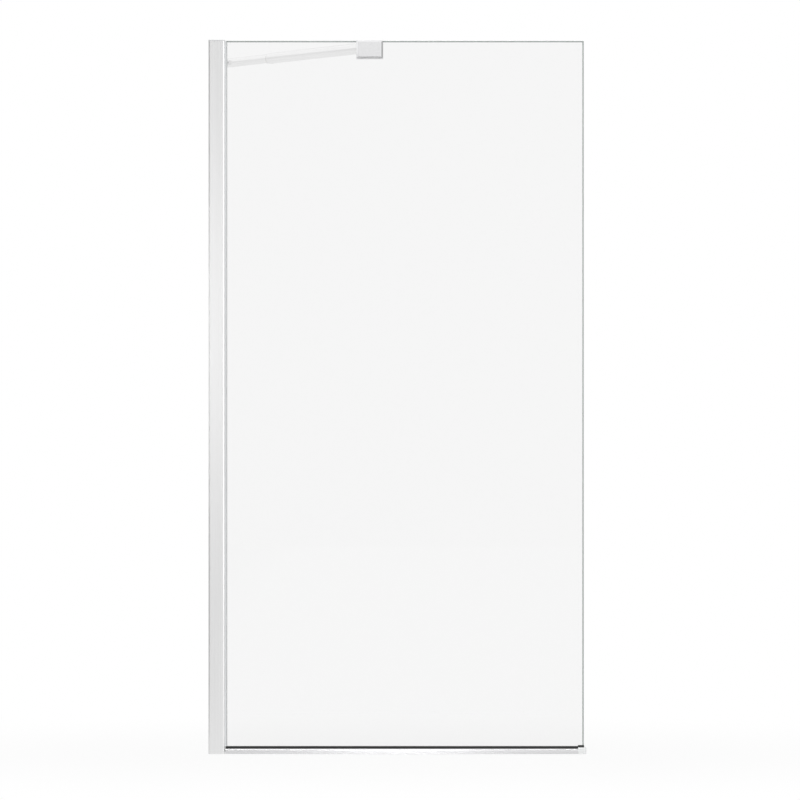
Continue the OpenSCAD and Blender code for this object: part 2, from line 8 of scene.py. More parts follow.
import bmesh
import bpy
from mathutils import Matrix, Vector

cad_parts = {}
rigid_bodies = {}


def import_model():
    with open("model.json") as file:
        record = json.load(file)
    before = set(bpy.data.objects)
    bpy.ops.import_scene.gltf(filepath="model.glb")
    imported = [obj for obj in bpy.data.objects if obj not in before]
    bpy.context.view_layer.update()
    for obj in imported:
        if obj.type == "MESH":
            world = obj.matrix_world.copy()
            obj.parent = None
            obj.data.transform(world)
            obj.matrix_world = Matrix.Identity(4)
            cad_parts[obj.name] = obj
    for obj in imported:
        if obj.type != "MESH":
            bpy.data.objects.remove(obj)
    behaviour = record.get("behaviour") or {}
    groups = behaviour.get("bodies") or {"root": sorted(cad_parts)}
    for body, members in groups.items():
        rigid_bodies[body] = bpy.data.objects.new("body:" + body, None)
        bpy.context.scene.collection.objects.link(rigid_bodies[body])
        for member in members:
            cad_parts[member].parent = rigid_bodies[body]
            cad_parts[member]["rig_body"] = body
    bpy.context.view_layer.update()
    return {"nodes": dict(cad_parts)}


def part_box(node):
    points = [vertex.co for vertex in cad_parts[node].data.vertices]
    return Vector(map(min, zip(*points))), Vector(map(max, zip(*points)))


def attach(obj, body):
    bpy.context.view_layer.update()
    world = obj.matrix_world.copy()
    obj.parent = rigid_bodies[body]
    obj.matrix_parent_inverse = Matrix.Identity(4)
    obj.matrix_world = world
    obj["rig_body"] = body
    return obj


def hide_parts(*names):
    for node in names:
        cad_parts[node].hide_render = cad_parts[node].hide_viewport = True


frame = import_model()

# Viewpoint. A level camera with a long lens stands square in front of the
# glass, at the middle of its height, as the photograph was taken.
VIEW_FROM = Vector((0.5105, -8.5, 0.9419))
# Width of what the picture takes in at the glass
SPAN_AT_GLASS = 2.131
SENSOR_MM = 36.0
SIGHT_LENGTH = 60.0
LOOKING_LEVEL = radians(90)

view_data = bpy.data.cameras.new("viewpoint")
view_data.sensor_width = SENSOR_MM
view_data.lens = SENSOR_MM * -VIEW_FROM.y / SPAN_AT_GLASS
view_data.clip_end = SIGHT_LENGTH
viewpoint = bpy.data.objects.new("viewpoint", view_data)
viewpoint.location = VIEW_FROM
viewpoint.rotation_euler = (LOOKING_LEVEL, 0, 0)
bpy.context.scene.collection.objects.link(viewpoint)
bpy.context.scene.camera = viewpoint
bpy.context.scene.view_settings.view_transform = "Standard"


# Studio. White all round for what the eye sees directly and through the glass.
# Metal mirrors a white room with a dark flag on each side, which draws the
# corners of the profiles, and plain white behind the panel.
def colour(hex_code):
    """Linear colour with alpha from an sRGB hex code such as "#E8EAEC"."""
    parts = [int(hex_code[i:i + 2], 16) / 255 for i in (1, 3, 5)]
    linear = [c / 12.92 if c <= 0.04045 else ((c + 0.055) / 1.055) ** 2.4 for c in parts]
    return (*linear, 1.0)


def add_node(tree, kind, settings=None, links=None):
    """Adds one node. Settings are its properties or the values of its sockets, links its inputs."""
    node = tree.nodes.new("ShaderNode" + kind)
    for name, value in (settings or {}).items():
        if isinstance(name, int) or name in node.inputs:
            node.inputs[name].default_value = value
        else:
            setattr(node, name, value)
    for name, output in (links or {}).items():
        tree.links.new(output, node.inputs[name])
    return node


def fill_ramp(ramp, stops):
    """Sets the stops of a colour ramp, each (position, grey level or linear colour)."""
    while len(ramp.elements) < len(stops):
        ramp.elements.new(0.5)
    for element, (place, level) in zip(ramp.elements, stops):
        element.position = place
        element.color = level if isinstance(level, tuple) else (level, level, level, 1.0)


def seen_directly(tree, ray):
    """A node that gives 1 for what the eye sees directly or through the glass, and else 0."""
    return add_node(tree, "Math", {"operation": "MAXIMUM"},
                    {0: ray.outputs["Is Camera Ray"], 1: ray.outputs["Is Transmission Ray"]})


WHITE = colour("#FFFFFF")
# Grey of the room from far left (0) through straight ahead (0.5) to far right (1)
ROOM_ACROSS = [(0.0, 0.95), (0.025, 0.95), (0.05, 0.35), (0.36, 0.35), (0.44, 0.84), (0.5, 0.88),
               (0.58, 0.95), (0.68, 1.1), (0.955, 1.1), (0.985, 0.5), (1.0, 0.45)]
# Share of that level from straight down (0) through level (0.5) to straight up (1)
ROOM_UP = [(0.0, 0.75), (0.42, 0.9), (0.5, 1.0), (0.7, 1.02), (0.9, 1.0), (1.0, 0.92)]
# Strength at which the room lights the panel
ROOM_FOR_LIGHT = 0.62
# What metal mirrors turns white where it looks backwards by more than this, from start to end.
# Looking up or down counts as backwards too, by this share of its steepness
BACK_STARTS, BACK_ENDS = 0.045, 0.08
STEEP_SHARE = 0.15
# Sockets of a Mix node that mixes colours: its factor, the two colours and the result
MIX_FACTOR, MIX_A, MIX_B, MIX_RESULT = 0, 6, 7, 2

room = bpy.data.worlds.new("white_studio")
room.use_nodes = True
bpy.context.scene.world = room
tree = room.node_tree
tree.nodes.clear()
ray = add_node(tree, "LightPath")
place = add_node(tree, "TexCoord")
axes = add_node(tree, "SeparateXYZ", links={0: place.outputs["Generated"]})
levels = []
for axis, stops in (("X", ROOM_ACROSS), ("Z", ROOM_UP)):
    share = add_node(tree, "MapRange", {"From Min": -1.0, "From Max": 1.0},
                     {"Value": axes.outputs[axis]})
    level = add_node(tree, "ValToRGB", links={"Fac": share.outputs["Result"]})
    fill_ramp(level.color_ramp, stops)
    levels.append(level)
greys = add_node(tree, "Mix", {"data_type": "RGBA", "blend_type": "MULTIPLY", MIX_FACTOR: 1.0},
                 {MIX_A: levels[0].outputs["Color"], MIX_B: levels[1].outputs["Color"]})
steepness = add_node(tree, "Math", {"operation": "ABSOLUTE"}, {0: axes.outputs["Z"]})
pointing_back = add_node(tree, "Math", {"operation": "MULTIPLY_ADD", 1: STEEP_SHARE},
                         {0: steepness.outputs[0], 2: axes.outputs["Y"]})
behind = add_node(tree, "MapRange", {"From Min": BACK_STARTS, "From Max": BACK_ENDS},
                  {"Value": pointing_back.outputs[0]})
behind_mirrored = add_node(tree, "Math", {"operation": "MULTIPLY"},
                           {0: behind.outputs["Result"], 1: ray.outputs["Is Glossy Ray"]})
white_share = add_node(tree, "Math", {"operation": "MAXIMUM"},
                       {0: seen_directly(tree, ray).outputs[0], 1: behind_mirrored.outputs[0]})
lighting = add_node(tree, "Background", {"Strength": ROOM_FOR_LIGHT, "Color": WHITE})
mirrored = add_node(tree, "Background", {"Strength": 1.0}, {"Color": greys.outputs[MIX_RESULT]})
plain_white = add_node(tree, "Background", {"Strength": 1.0, "Color": WHITE})
around = add_node(tree, "MixShader", links={
    0: ray.outputs["Is Glossy Ray"], 1: lighting.outputs[0], 2: mirrored.outputs[0]})
shown = add_node(tree, "MixShader", links={
    0: white_share.outputs[0], 1: around.outputs[0], 2: plain_white.outputs[0]})
add_node(tree, "OutputWorld", links={"Surface": shown.outputs[0]})


# Floor. Pale paint that keeps a soft shadow near the panel and is plain white
# away from it. Metal mirrors it white as well, but for the front by the wall
# and a grey patch below the clamp.
FLOOR_SIZE = 24.0
FLOOR_MIDDLE = 0.5
FLOOR_DROP = 0.0002
FLOOR_TONE = "#C2C2C2"
# The shadow is twice as long as it is wide. White share at its middle, and where it fades out
SHADOW_SQUEEZE = 0.5
SHADOW_WHITE = 0.93
SHADOW_FADES = (0.1, 1.1)
# The patch is mirrored only along rays as long as the clamp is high, so that the glass doesn't
# show it. A difference in length weighs this many times more than one in place
PATCH_AT = (0.43, -0.22)
PATCH_WHITE = 0.0
PATCH_FADES = (0.08, 0.2)
CLAMP_TO_FLOOR = 1.865
LENGTH_WEIGHT = 4.0
# The front by the wall turns white between these places across and towards the back
WALL_SIDE_GREY, WALL_SIDE_WHITE = -1.0, -0.15
FRONT_GREY, BACK_WHITE = -0.4, 0.1


def new_material(name):
    """A material with an empty node tree."""
    material = bpy.data.materials.new(name)
    material.use_nodes = True
    material.node_tree.nodes.clear()
    return material


floor_mesh = bmesh.new()
bmesh.ops.create_grid(floor_mesh, x_segments=1, y_segments=1, size=FLOOR_SIZE / 2)
floor_data = bpy.data.meshes.new("floor")
floor_mesh.to_mesh(floor_data)
floor_mesh.free()
floor = bpy.data.objects.new("floor", floor_data)
floor.location = (FLOOR_MIDDLE, 0, -FLOOR_DROP)
bpy.context.scene.collection.objects.link(floor)

floor_paint = new_material("pale_floor_paint")
tree = floor_paint.node_tree
ray = add_node(tree, "LightPath")
painted = add_node(tree, "BsdfDiffuse", {"Color": colour(FLOOR_TONE)})
plain_white = add_node(tree, "Emission", {"Strength": 1.0, "Color": WHITE})
place = add_node(tree, "TexCoord")
axes = add_node(tree, "SeparateXYZ", links={0: place.outputs["Object"]})
from_middle = add_node(tree, "Mapping", {"Scale": (SHADOW_SQUEEZE, 1.0, 1.0)},
                       {"Vector": place.outputs["Object"]})
place_and_length = add_node(tree, "CombineXYZ", links={
    "X": axes.outputs["X"], "Y": axes.outputs["Y"], "Z": ray.outputs["Ray Length"]})
from_patch = add_node(tree, "Mapping", {
    "Location": (FLOOR_MIDDLE - PATCH_AT[0], -PATCH_AT[1], -CLAMP_TO_FLOOR * LENGTH_WEIGHT),
    "Scale": (1.0, 1.0, LENGTH_WEIGHT)}, {"Vector": place_and_length.outputs[0]})
off_wall = add_node(tree, "MapRange", {
    "From Min": WALL_SIDE_GREY - FLOOR_MIDDLE, "From Max": WALL_SIDE_WHITE - FLOOR_MIDDLE},
    {"Value": axes.outputs["X"]})
at_back = add_node(tree, "MapRange", {"From Min": FRONT_GREY, "From Max": BACK_WHITE},
                   {"Value": axes.outputs["Y"]})
off_corner = add_node(tree, "Math", {"operation": "MAXIMUM"},
                      {0: off_wall.outputs["Result"], 1: at_back.outputs["Result"]})
reflected = add_node(tree, "Math", {"operation": "SUBTRACT", "use_clamp": True},
                     {0: ray.outputs["Is Glossy Ray"], 1: ray.outputs["Is Transmission Ray"]})
mirrored = add_node(tree, "Math", {"operation": "MULTIPLY"},
                    {0: reflected.outputs[0], 1: off_corner.outputs[0]})
shares = []
for rays, placed, middle_white, (fade_starts, fade_ends) in (
    (seen_directly(tree, ray), from_middle, SHADOW_WHITE, SHADOW_FADES),
    (mirrored, from_patch, PATCH_WHITE, PATCH_FADES),
):
    distance = add_node(tree, "VectorMath", {"operation": "LENGTH"}, {0: placed.outputs[0]})
    whiter = add_node(tree, "MapRange", {
        "interpolation_type": "SMOOTHSTEP", "From Min": fade_starts, "From Max": fade_ends,
        "To Min": middle_white, "To Max": 1.0}, {"Value": distance.outputs["Value"]})
    shares.append(add_node(tree, "Math", {"operation": "MULTIPLY"},
                           {0: rays.outputs[0], 1: whiter.outputs["Result"]}))
white_share = add_node(tree, "Math", {"operation": "MAXIMUM"},
                       {0: shares[0].outputs[0], 1: shares[1].outputs[0]})
shown = add_node(tree, "MixShader", links={
    0: white_share.outputs[0], 1: painted.outputs[0], 2: plain_white.outputs[0]})
add_node(tree, "OutputMaterial", links={"Surface": shown.outputs[0]})
floor_data.materials.append(floor_paint)


# Lamps. Three large soft ones light the whole panel, from the front left, from
# the front right and from behind. Small ones that draw the sheen on a single
# piece stand in that piece's section.
def add_lamp(name, stand, aim, size, watts, only=()):
    """A rectangular lamp at stand, turned to aim, that neither the eye nor the glass shows. With
    pieces in only, it lights those and nothing else."""
    lamp_data = bpy.data.lights.new(name, "AREA")
    lamp_data.shape = "RECTANGLE"
    lamp_data.size, lamp_data.size_y = size
    lamp_data.energy = watts
    lamp = bpy.data.objects.new(name, lamp_data)
    lamp.location = stand
    lamp.rotation_euler = (Vector(aim) - Vector(stand)).to_track_quat("-Z", "Y").to_euler()
    lamp.visible_camera = False
    lamp.visible_transmission = False
    bpy.context.scene.collection.objects.link(lamp)
    if only:
        lit = bpy.data.collections.new("lit_by_" + name)
        for piece in only:
            lit.objects.link(piece)
        lamp.light_linking.receiver_collection = lit


add_lamp("key_lamp", stand=(-1.8, -3.4, 4.6), aim=(0.5, 0.0, 0.8), size=(2.4, 1.6), watts=60.0)
add_lamp("fill_lamp", stand=(3.8, -3.6, 1.52), aim=(0.5, 0.0, 0.9), size=(2.4, 3.0), watts=42.0)
add_lamp("back_lamp", stand=(1.4, 4.2, 3.6), aim=(0.4, 0.1, 1.2), size=(2.4, 1.6), watts=55.0)


# Wall channel. A C-shaped aluminium extrusion, bright anodised, screwed to the
# wall through its web. The die rounds its corners and eases its long edges,
# and its ends are cut square.
MM = 0.001
# A noise pattern mostly stays between these levels, so a finish's dark and light tones are there
NOISE_LOW, NOISE_HIGH = 0.3, 0.7
# Points this near to each other are one, and so are faces that turn by less than this
SAME_POINT = 1e-6
SAME_FACE = radians(0.5)
# An edge can be eased where its faces turn by more than this, and is rounded in so many steps
SHARP = radians(28)
EASE_STEPS = 2
# An edge whose faces turn by this or more when it is finished is shaded crisp
CRISP = radians(50)
# An edge runs along an axis when at least this share of its length does
ALONG = 0.99


def set_tones(ramp, dark_hex, light_hex):
    """Runs a colour ramp on a noise pattern from a finish's dark tone to its light one."""
    fill_ramp(ramp, [(NOISE_LOW, colour(dark_hex)), (NOISE_HIGH, colour(light_hex))])


def finish_on(tree, shader, height, strength, depth_mm):
    """Puts a pattern's relief under a material's shader, and joins the shader to the output."""
    relief = add_node(tree, "Bump", {"Strength": strength, "Distance": depth_mm * MM},
                      {"Height": height})
    tree.links.new(relief.outputs["Normal"], shader.inputs["Normal"])
    add_node(tree, "OutputMaterial", links={"Surface": shader.outputs[0]})


def extruded_aluminium(name, dark_hex, light_hex, across_mm, along_mm, axis):
    """Bright anodised 6063 extrusion. The die leaves faint lines along the whole length, and the
    sulphuric bath an even, slightly blurred silver. The real lines are 0.3 mm apart, too fine to
    show, so they are drawn across_mm apart and along_mm long."""
    material = new_material(name)
    tree = material.node_tree
    place = add_node(tree, "TexCoord")
    scale = [1 / (across_mm * MM)] * 3
    scale["XYZ".index(axis)] = 1 / (along_mm * MM)
    stretched = add_node(tree, "Mapping", {"Scale": scale}, {"Vector": place.outputs["Object"]})
    lines = add_node(tree, "TexNoise", {"Scale": 1.0, "Detail": 3.0, "Roughness": 0.6},
                     {"Vector": stretched.outputs[0]})
    tone = add_node(tree, "ValToRGB", links={"Fac": lines.outputs["Fac"]})
    set_tones(tone.color_ramp, dark_hex, light_hex)
    blur = add_node(tree, "MapRange", {"To Min": 0.26, "To Max": 0.36},
                    {"Value": lines.outputs["Fac"]})
    metal = add_node(tree, "BsdfPrincipled", {"Metallic": 1.0},
                     {"Base Color": tone.outputs["Color"], "Roughness": blur.outputs["Result"]})
    finish_on(tree, metal, lines.outputs["Fac"], strength=0.25, depth_mm=0.02)
    return material


def merged(node):
    """A bmesh copy of a CAD node with its triangles joined into whole faces."""
    mesh = bmesh.new()
    mesh.from_mesh(frame["nodes"][node].data)
    bmesh.ops.remove_doubles(mesh, verts=mesh.verts, dist=SAME_POINT)
    bmesh.ops.dissolve_limit(mesh, angle_limit=SAME_FACE, verts=mesh.verts, edges=mesh.edges)
    return mesh


def runs_along(axis):
    """A test that is true for an edge that lies along the axis "X", "Y" or "Z"."""
    def test(edge):
        span = edge.verts[1].co - edge.verts[0].co
        return abs(span["XYZ".index(axis)]) > ALONG * span.length
    return test


def ease(mesh, radius_mm, wanted=lambda edge: True):
    """Rounds the sharp edges that are wanted, as deburring or the radius of a die or mould does."""
    sharp = [edge for edge in mesh.edges
             if edge.is_manifold and edge.calc_face_angle() > SHARP and wanted(edge)]
    bmesh.ops.bevel(mesh, geom=sharp, offset=radius_mm * MM, offset_type="OFFSET",
                    segments=EASE_STEPS, profile=0.5, affect="EDGES", material=-1,
                    clamp_overlap=True)
    return mesh


def show(node, mesh, materials):
    """Puts a finished bmesh in the scene in place of a CAD node, on that node's body. Edges that
    are still square stay crisp, and all else is shaded smooth."""
    for edge in mesh.edges:
        edge.smooth = edge.calc_face_angle(0.0) < CRISP
    data = bpy.data.meshes.new(node + "_shown")
    mesh.to_mesh(data)
    mesh.free()
    data.shade_smooth()
    for material in materials:
        data.materials.append(material)
    piece = bpy.data.objects.new(node + "_shown", data)
    bpy.context.scene.collection.objects.link(piece)
    shading = piece.modifiers.new("even_shading", "WEIGHTED_NORMAL")
    shading.keep_sharp = True
    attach(piece, frame["nodes"][node]["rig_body"])
    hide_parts(node)
    return piece


upright_aluminium = extruded_aluminium("bright_anodised_aluminium_upright", "#E4E4E4", "#EAEAEA",
                                       across_mm=4.0, along_mm=700.0, axis="Z")
channel = show("wall_channel", ease(merged("wall_channel"), radius_mm=0.3, wanted=runs_along("Z")),
               [upright_aluminium])

# One lamp draws the broad sheen on its face, the other the light on its left corner
add_lamp("face_lamp", stand=(-0.75, -5.0, 1.25), aim=(0.1, 0.0, 1.25), size=(0.7, 1.1), watts=5.0,
         only=[channel])
add_lamp("corner_lamp", stand=(-1.5, -0.9, 1.1), aim=(0.0, 0.0, 1.1), size=(0.5, 0.9), watts=3.4,
         only=[channel])


# Channel cap. Moulded in pale grey polypropylene and pushed into the top of
# the channel, with a slot that lets the glass run under it.
PLASTIC_GRAIN_MM = 0.8


def moulded_plastic(name, dark_hex, light_hex):
    """Polypropylene from a spark-eroded mould: a fine even grain that breaks up the shine, and no
    clear coat. The real grain of 0.1 mm is too fine to show, so it is drawn coarser."""
    material = new_material(name)
    tree = material.node_tree
    place = add_node(tree, "TexCoord")
    grain = add_node(tree, "TexNoise", {"Scale": 1 / (PLASTIC_GRAIN_MM * MM), "Detail": 2.0},
                     {"Vector": place.outputs["Object"]})
    tone = add_node(tree, "ValToRGB", links={"Fac": grain.outputs["Fac"]})
    set_tones(tone.color_ramp, dark_hex, light_hex)
    blur = add_node(tree, "MapRange", {"To Min": 0.36, "To Max": 0.48},
                    {"Value": grain.outputs["Fac"]})
    plastic = add_node(tree, "BsdfPrincipled", {"IOR": 1.49},
                       {"Base Color": tone.outputs["Color"], "Roughness": blur.outputs["Result"]})
    finish_on(tree, plastic, grain.outputs["Fac"], strength=0.2, depth_mm=0.05)
    return material


pale_plastic = moulded_plastic("moulded_polypropylene_pale_grey", "#DFE0E1", "#E6E7E8")
show("channel_cap", ease(merged("channel_cap"), radius_mm=0.4), [pale_plastic])


# Locking screws. Grub screws turned in stainless steel, with a hexagon socket.
# They reach through the rear land of the channel to the glazing profile.
TURNING_MARKS_MM = 0.4


def turned_steel(name, dark_hex, light_hex):
    """Stainless A2 from a lathe: grey-white metal with fine turning marks, drawn coarser than the
    real ones so that they show, which blur its reflections a little."""
    material = new_material(name)
    tree = material.node_tree
    place = add_node(tree, "TexCoord")
    marks = add_node(tree, "TexNoise", {"Scale": 1 / (TURNING_MARKS_MM * MM), "Detail": 2.0},
                     {"Vector": place.outputs["Object"]})
    tone = add_node(tree, "ValToRGB", links={"Fac": marks.outputs["Fac"]})
    set_tones(tone.color_ramp, dark_hex, light_hex)
    metal = add_node(tree, "BsdfPrincipled", {"Metallic": 1.0, "Roughness": 0.24},
                     {"Base Color": tone.outputs["Color"]})
    finish_on(tree, metal, marks.outputs["Fac"], strength=0.15, depth_mm=0.02)
    return material


turned_stainless = turned_steel("turned_stainless_steel", "#BDBDBB", "#CFCFCD")
show("locking_screws", ease(merged("locking_screws"), radius_mm=0.15), [turned_stainless])


# Glass. 8 mm float glass, cut, drilled for the two clamp bolts, its edges
# ground round and polished, and then toughened.
GLASS_TINT = "#F6F6F6"
GLASS_IOR = 1.52
OVEN_WAVE_MM = 250.0
GRINDING_MARKS_MM = 0.6
# The ground edge reaches this far in from the rim of the pane
EDGE_BAND = 3.8 * MM
# It is painted pale, as painted light, as far as this from the middle of the glass, and dark, as
# painted shade, from there on
EDGE_PALE_TO, EDGE_DARK_FROM = 1.6 * MM, 3.0 * MM
EDGE_PAINTED_LIGHT, EDGE_PAINTED_SHADE = "#DDE1DF", "#B2B9B6"
# A face whose normal is this much along Y belongs to one of the two flat sides of the pane
FLAT_SIDE = 0.9999


def float_glass(name):
    """Clear soda-lime float glass: nearly colourless through 8 mm, mirror smooth, with the very
    slight wave that the rollers of the toughening oven leave. Lamps shine straight through it."""
    material = new_material(name)
    tree = material.node_tree
    place = add_node(tree, "TexCoord")
    wave = add_node(tree, "TexNoise", {"Scale": 1 / (OVEN_WAVE_MM * MM), "Detail": 0.0},
                    {"Vector": place.outputs["Object"]})
    relief = add_node(tree, "Bump", {"Strength": 0.1, "Distance": 0.05 * MM},
                      {"Height": wave.outputs["Fac"]})
    glass = add_node(tree, "BsdfPrincipled", {
        "Base Color": colour(GLASS_TINT), "Roughness": 0.0, "IOR": GLASS_IOR,
        "Transmission Weight": 1.0}, {"Normal": relief.outputs["Normal"]})
    ray = add_node(tree, "LightPath")
    clear = add_node(tree, "BsdfTransparent", {"Color": colour(GLASS_TINT)})
    lamps_pass = add_node(tree, "MixShader", links={
        0: ray.outputs["Is Shadow Ray"], 1: glass.outputs[0], 2: clear.outputs[0]})
    add_node(tree, "OutputMaterial", links={"Surface": lamps_pass.outputs[0]})
    return material


def ground_edge(name):
    """The polished edge of the same glass, with fine grinding marks. Its grey-green tone is painted
    light and shade for the light that runs along the inside of the pane to it: painted shade,
    darkest where the round edge begins on each face, and painted light, paler along its middle."""
    material = new_material(name)
    tree = material.node_tree
    place = add_node(tree, "TexCoord")
    marks = add_node(tree, "TexNoise", {"Scale": 1 / (GRINDING_MARKS_MM * MM), "Detail": 2.0},
                     {"Vector": place.outputs["Object"]})
    axes = add_node(tree, "SeparateXYZ", links={0: place.outputs["Object"]})
    off_middle = add_node(tree, "Math", {"operation": "ABSOLUTE"}, {0: axes.outputs["Y"]})
    depth = add_node(tree, "MapRange", {"From Min": EDGE_PALE_TO, "From Max": EDGE_DARK_FROM},
                     {"Value": off_middle.outputs[0]})
    tone = add_node(tree, "ValToRGB", links={"Fac": depth.outputs["Result"]})
    fill_ramp(tone.color_ramp, [(0.0, colour(EDGE_PAINTED_LIGHT)), (1.0, colour(EDGE_PAINTED_SHADE))])
    marked = add_node(tree, "Mix", {"data_type": "RGBA", "blend_type": "OVERLAY",
                                    MIX_FACTOR: 0.25},
                      {MIX_A: tone.outputs["Color"], MIX_B: marks.outputs["Color"]})
    edge = add_node(tree, "BsdfPrincipled", {
        "Roughness": 0.22, "IOR": GLASS_IOR, "Transmission Weight": 0.35},
        {"Base Color": marked.outputs[MIX_RESULT]})
    finish_on(tree, edge, marks.outputs["Fac"], strength=0.1, depth_mm=0.02)
    return material


pane = merged("glass_pane")
pane_low, pane_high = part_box("glass_pane")
for face in pane.faces:
    middle = face.calc_center_median()
    from_rim = min(middle.x - pane_low.x, pane_high.x - middle.x,
                   middle.z - pane_low.z, pane_high.z - middle.z)
    on_edge = from_rim < EDGE_BAND and abs(face.normal.y) < FLAT_SIDE
    face.material_index = 1 if on_edge else 0
show("glass_pane", pane, [float_glass("toughened_float_glass"),
                          ground_edge("ground_and_polished_glass_edge")])


# Glazing profile. The H-shaped extrusion that the glass stands in, anodised like its channel but
# drawn a shade darker, as painted shade of its recess behind the channel. Its top cap is moulded.
aluminium_with_painted_recess_shade = extruded_aluminium("anodised_aluminium_upright_painted_recess_shade", "#DDDFE0", "#E3E5E6",
                                     across_mm=4.0, along_mm=700.0, axis="Z")
show("glazing_profile", ease(merged("glazing_profile"), radius_mm=0.15, wanted=runs_along("Z")),
     [aluminium_with_painted_recess_shade])
show("profile_cap", ease(merged("profile_cap"), radius_mm=0.25), [pale_plastic])


# Glazing gaskets. Extruded grey thermoplastic rubber, pressed in beside the
# glass behind a nib, with a round lip that wipes the glass.
RUBBER_BLOOM_MM = 3.0


def extruded_rubber(name, dark_hex, light_hex, roughness):
    """Soft rubber straight from the die: matt, with a faint bloom in cloudy patches."""
    material = new_material(name)
    tree = material.node_tree
    place = add_node(tree, "TexCoord")
    bloom = add_node(tree, "TexNoise", {"Scale": 1 / (RUBBER_BLOOM_MM * MM), "Detail": 4.0},
                     {"Vector": place.outputs["Object"]})
    tone = add_node(tree, "ValToRGB", links={"Fac": bloom.outputs["Fac"]})
    set_tones(tone.color_ramp, dark_hex, light_hex)
    blur = add_node(tree, "MapRange", {"To Min": roughness - 0.05, "To Max": roughness + 0.08},
                    {"Value": bloom.outputs["Fac"]})
    rubber = add_node(tree, "BsdfPrincipled", {"IOR": 1.5},
                      {"Base Color": tone.outputs["Color"], "Roughness": blur.outputs["Result"]})
    finish_on(tree, rubber, bloom.outputs["Fac"], strength=0.2, depth_mm=0.03)
    return material


grey_rubber = extruded_rubber("extruded_grey_rubber", "#D8DADA", "#E0E2E2", roughness=0.55)
for node in ("front_glazing_gasket", "rear_glazing_gasket"):
    show(node, ease(merged(node), radius_mm=0.12, wanted=runs_along("Z")), [grey_rubber])


# Nylon pieces, moulded and out of sight. Packers and setting blocks keep the
# edge of the glass off the metal, sleeves line its holes, and the glide guides
# the hidden end of the inner tube.
NYLON_CLOUD_MM = 2.0


def moulded_nylon(name):
    """Natural nylon 6: milky off-white, half gloss, lets a little light into its surface."""
    material = new_material(name)
    tree = material.node_tree
    place = add_node(tree, "TexCoord")
    cloud = add_node(tree, "TexNoise", {"Scale": 1 / (NYLON_CLOUD_MM * MM), "Detail": 3.0},
                     {"Vector": place.outputs["Object"]})
    tone = add_node(tree, "ValToRGB", links={"Fac": cloud.outputs["Fac"]})
    set_tones(tone.color_ramp, "#EBEAE6", "#F3F2EF")
    nylon = add_node(tree, "BsdfPrincipled", {
        "Roughness": 0.38, "IOR": 1.53, "Subsurface Weight": 0.15,
        "Subsurface Radius": (1.0, 0.9, 0.8), "Subsurface Scale": 0.8 * MM},
        {"Base Color": tone.outputs["Color"]})
    finish_on(tree, nylon, cloud.outputs["Fac"], strength=0.1, depth_mm=0.03)
    return material


natural_nylon = moulded_nylon("moulded_natural_nylon")
for node in ("edge_packers", "setting_blocks", "clamp_sleeves", "tube_glide"):
    show(node, ease(merged(node), radius_mm=0.3), [natural_nylon])


# Floor rail. A low U-shaped extrusion with round upper corners, bright
# anodised, bedded on the tray under the lower edge of the glass.
# Its tones are darker than the channel's same bright anodising: painted shade
level_aluminium_painted_shade = extruded_aluminium("bright_anodised_aluminium_level_painted_shade", "#CECECF", "#D4D4D5",
                                     across_mm=3.0, along_mm=500.0, axis="X")
rail = show("floor_rail", ease(merged("floor_rail"), radius_mm=0.2, wanted=runs_along("X")),
            [level_aluminium_painted_shade])

# A low lamp draws the gleam along its middle, a long one the light on its round upper corner
add_lamp("rail_lamp", stand=(0.52, -1.0, 0.1), aim=(0.5, 0.0, 0.01), size=(0.3, 0.12), watts=1.1,
         only=[rail])
add_lamp("rail_top_lamp", stand=(0.5, -2.0, 0.9), aim=(0.5, 0.0, 0.01), size=(1.8, 0.25),
         watts=9.0, only=[rail])


# Rail gaskets. Black EPDM strips, pressed in on both sides of the glass. Their
# round beads show above the rail.
black_rubber = extruded_rubber("extruded_black_epdm", "#161717", "#1F2020", roughness=0.5)
for node in ("front_rail_gasket", "rear_rail_gasket"):
    show(node, ease(merged(node), radius_mm=0.12, wanted=runs_along("X")), [black_rubber])


# End cap. Moulded in white polypropylene, it wraps the lower corner of the
# glass and plugs into the rail, under a black rubber collar.
white_plastic = moulded_plastic("moulded_polypropylene_white", "#F0F1F1", "#F6F7F7")
end_cap = show("rail_end_cap", ease(merged("rail_end_cap"), radius_mm=0.3), [white_plastic])
show("end_cap_seal", ease(merged("end_cap_seal"), radius_mm=0.3), [black_rubber])

# A lamp brightens its front
add_lamp("cap_lamp", stand=(1.5, -0.9, 0.6), aim=(1.0, 0.0, 0.01), size=(0.4, 0.4), watts=2.6,
         only=[end_cap])


# Clamp. Two plates cast in zinc, polished and chrome plated, bolted through
# the glass on thin rubber pads. The front one has a wide bevelled border.
ORANGE_PEEL_MM = 6.0


def chrome_plate(name, dark_hex, light_hex):
    """Bright nickel and chrome on polished metal: an almost perfect mirror, a touch blue, with
    the very slight orange peel of the polishing below."""
    material = new_material(name)
    tree = material.node_tree
    place = add_node(tree, "TexCoord")
    ripple = add_node(tree, "TexNoise", {"Scale": 1 / (ORANGE_PEEL_MM * MM), "Detail": 1.0},
                      {"Vector": place.outputs["Object"]})
    tone = add_node(tree, "ValToRGB", links={"Fac": ripple.outputs["Fac"]})
    set_tones(tone.color_ramp, dark_hex, light_hex)
    metal = add_node(tree, "BsdfPrincipled", {"Metallic": 1.0, "Roughness": 0.1},
                     {"Base Color": tone.outputs["Color"]})
    finish_on(tree, metal, ripple.outputs["Fac"], strength=0.03, depth_mm=0.01)
    return material


chrome = chrome_plate("polished_chrome_plate_on_zinc", "#EFEFF0", "#F3F3F4")
show("clamp_front_plate", ease(merged("clamp_front_plate"), radius_mm=0.2), [chrome])
show("clamp_rear_plate", ease(merged("clamp_rear_plate"), radius_mm=0.3), [chrome])
for node in ("clamp_front_pad", "clamp_rear_pad"):
    show(node, ease(merged(node), radius_mm=0.2), [grey_rubber])
show("clamp_bolts", ease(merged("clamp_bolts"), radius_mm=0.15), [turned_stainless])


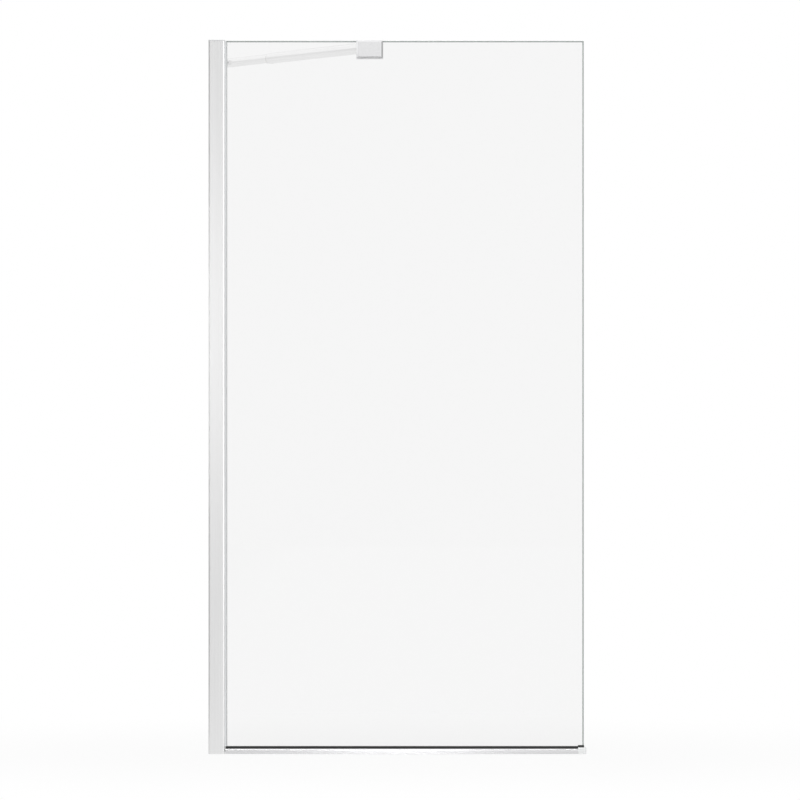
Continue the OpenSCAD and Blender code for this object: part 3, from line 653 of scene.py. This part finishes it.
# Support bar. Two drawn aluminium tubes, polished and bright anodised, one
# sliding in the other. It runs at 45 degrees to the glass, from the clamp
# back to the wall.
BAR_TURN = radians(-45)
ALONG_BAR = Vector((-1, 1, 0)).normalized()
DRAWN_MARKS_MM = (120, 3, 3)
# An edge this near to the plane of a tube's mouth lies in it
AT_MOUTH = 0.01 * MM


def polished_tube(name, dark_hex, light_hex):
    """Aluminium 6060 tube, drawn, polished along its length and bright anodised: faint long marks,
    drawn coarser than the real ones so that they show, and reflections a little softer than
    chrome's."""
    material = new_material(name)
    tree = material.node_tree
    place = add_node(tree, "TexCoord")
    turned = add_node(tree, "Mapping", {
        "vector_type": "TEXTURE", "Rotation": (0, 0, BAR_TURN),
        "Scale": [spacing * MM for spacing in DRAWN_MARKS_MM]},
        {"Vector": place.outputs["Object"]})
    marks = add_node(tree, "TexNoise", {"Scale": 1.0, "Detail": 2.0},
                     {"Vector": turned.outputs[0]})
    tone = add_node(tree, "ValToRGB", links={"Fac": marks.outputs["Fac"]})
    set_tones(tone.color_ramp, dark_hex, light_hex)
    metal = add_node(tree, "BsdfPrincipled", {"Metallic": 1.0, "Roughness": 0.16},
                     {"Base Color": tone.outputs["Color"]})
    finish_on(tree, metal, marks.outputs["Fac"], strength=0.08, depth_mm=0.02)
    return material


def mouths_of(tube):
    """A test that is true for an edge in the plane of either mouth of a tube of the bar."""
    reaches = [vert.co.dot(ALONG_BAR) for vert in tube.verts]
    mouths = (min(reaches), max(reaches))

    def test(edge):
        return all(min(abs(vert.co.dot(ALONG_BAR) - mouth) for mouth in mouths) < AT_MOUTH
                   for vert in edge.verts)
    return test


bar_metal = polished_tube("polished_and_anodised_aluminium_tube", "#ECECEC", "#F1F1F1")
tubes = []
for node in ("outer_tube", "inner_tube"):
    tube = merged(node)
    tubes.append(show(node, ease(tube, radius_mm=0.3, wanted=mouths_of(tube)), [bar_metal]))

# A lamp above the wall draws the bright band along the top of the bar
add_lamp("bar_lamp", stand=(-0.66, 0.48, 2.68), aim=(0.45, 0.01, 1.88), size=(1.8, 1.2),
         watts=0.88, only=tubes)


# Guide bush. Moulded in natural nylon and pressed into the mouth of the outer
# tube. The inner tube slides in it, and its thin rim covers the mouth.
show("guide_bush", merged("guide_bush"), [natural_nylon])


# Forks. Turned and slotted from round bar, and chrome plated like the clamp.
# Each has a plug and a shoulder for its tube and two cheeks about a tongue.
for node in ("clamp_fork", "bracket_fork"):
    show(node, merged(node), [chrome])


# Pins and grub screws of the bar. Turned in stainless steel. The pins join the
# forks and the tongues, and the screws reach through a tube from below to hold
# the plug of a fork or the length of the bar.
for node in ("clamp_hinge_pin", "bracket_hinge_pin"):
    show(node, ease(merged(node), radius_mm=0.2), [turned_stainless])
for node in ("clamp_fork_screw", "bar_locking_screw", "bracket_fork_screw"):
    show(node, ease(merged(node), radius_mm=0.15), [turned_stainless])


# Wall bracket. Cast in zinc and chrome plated like the clamp, with two
# countersunk holes above and below the tongue for the bar.
show("wall_bracket", ease(merged("wall_bracket"), radius_mm=0.3), [chrome])
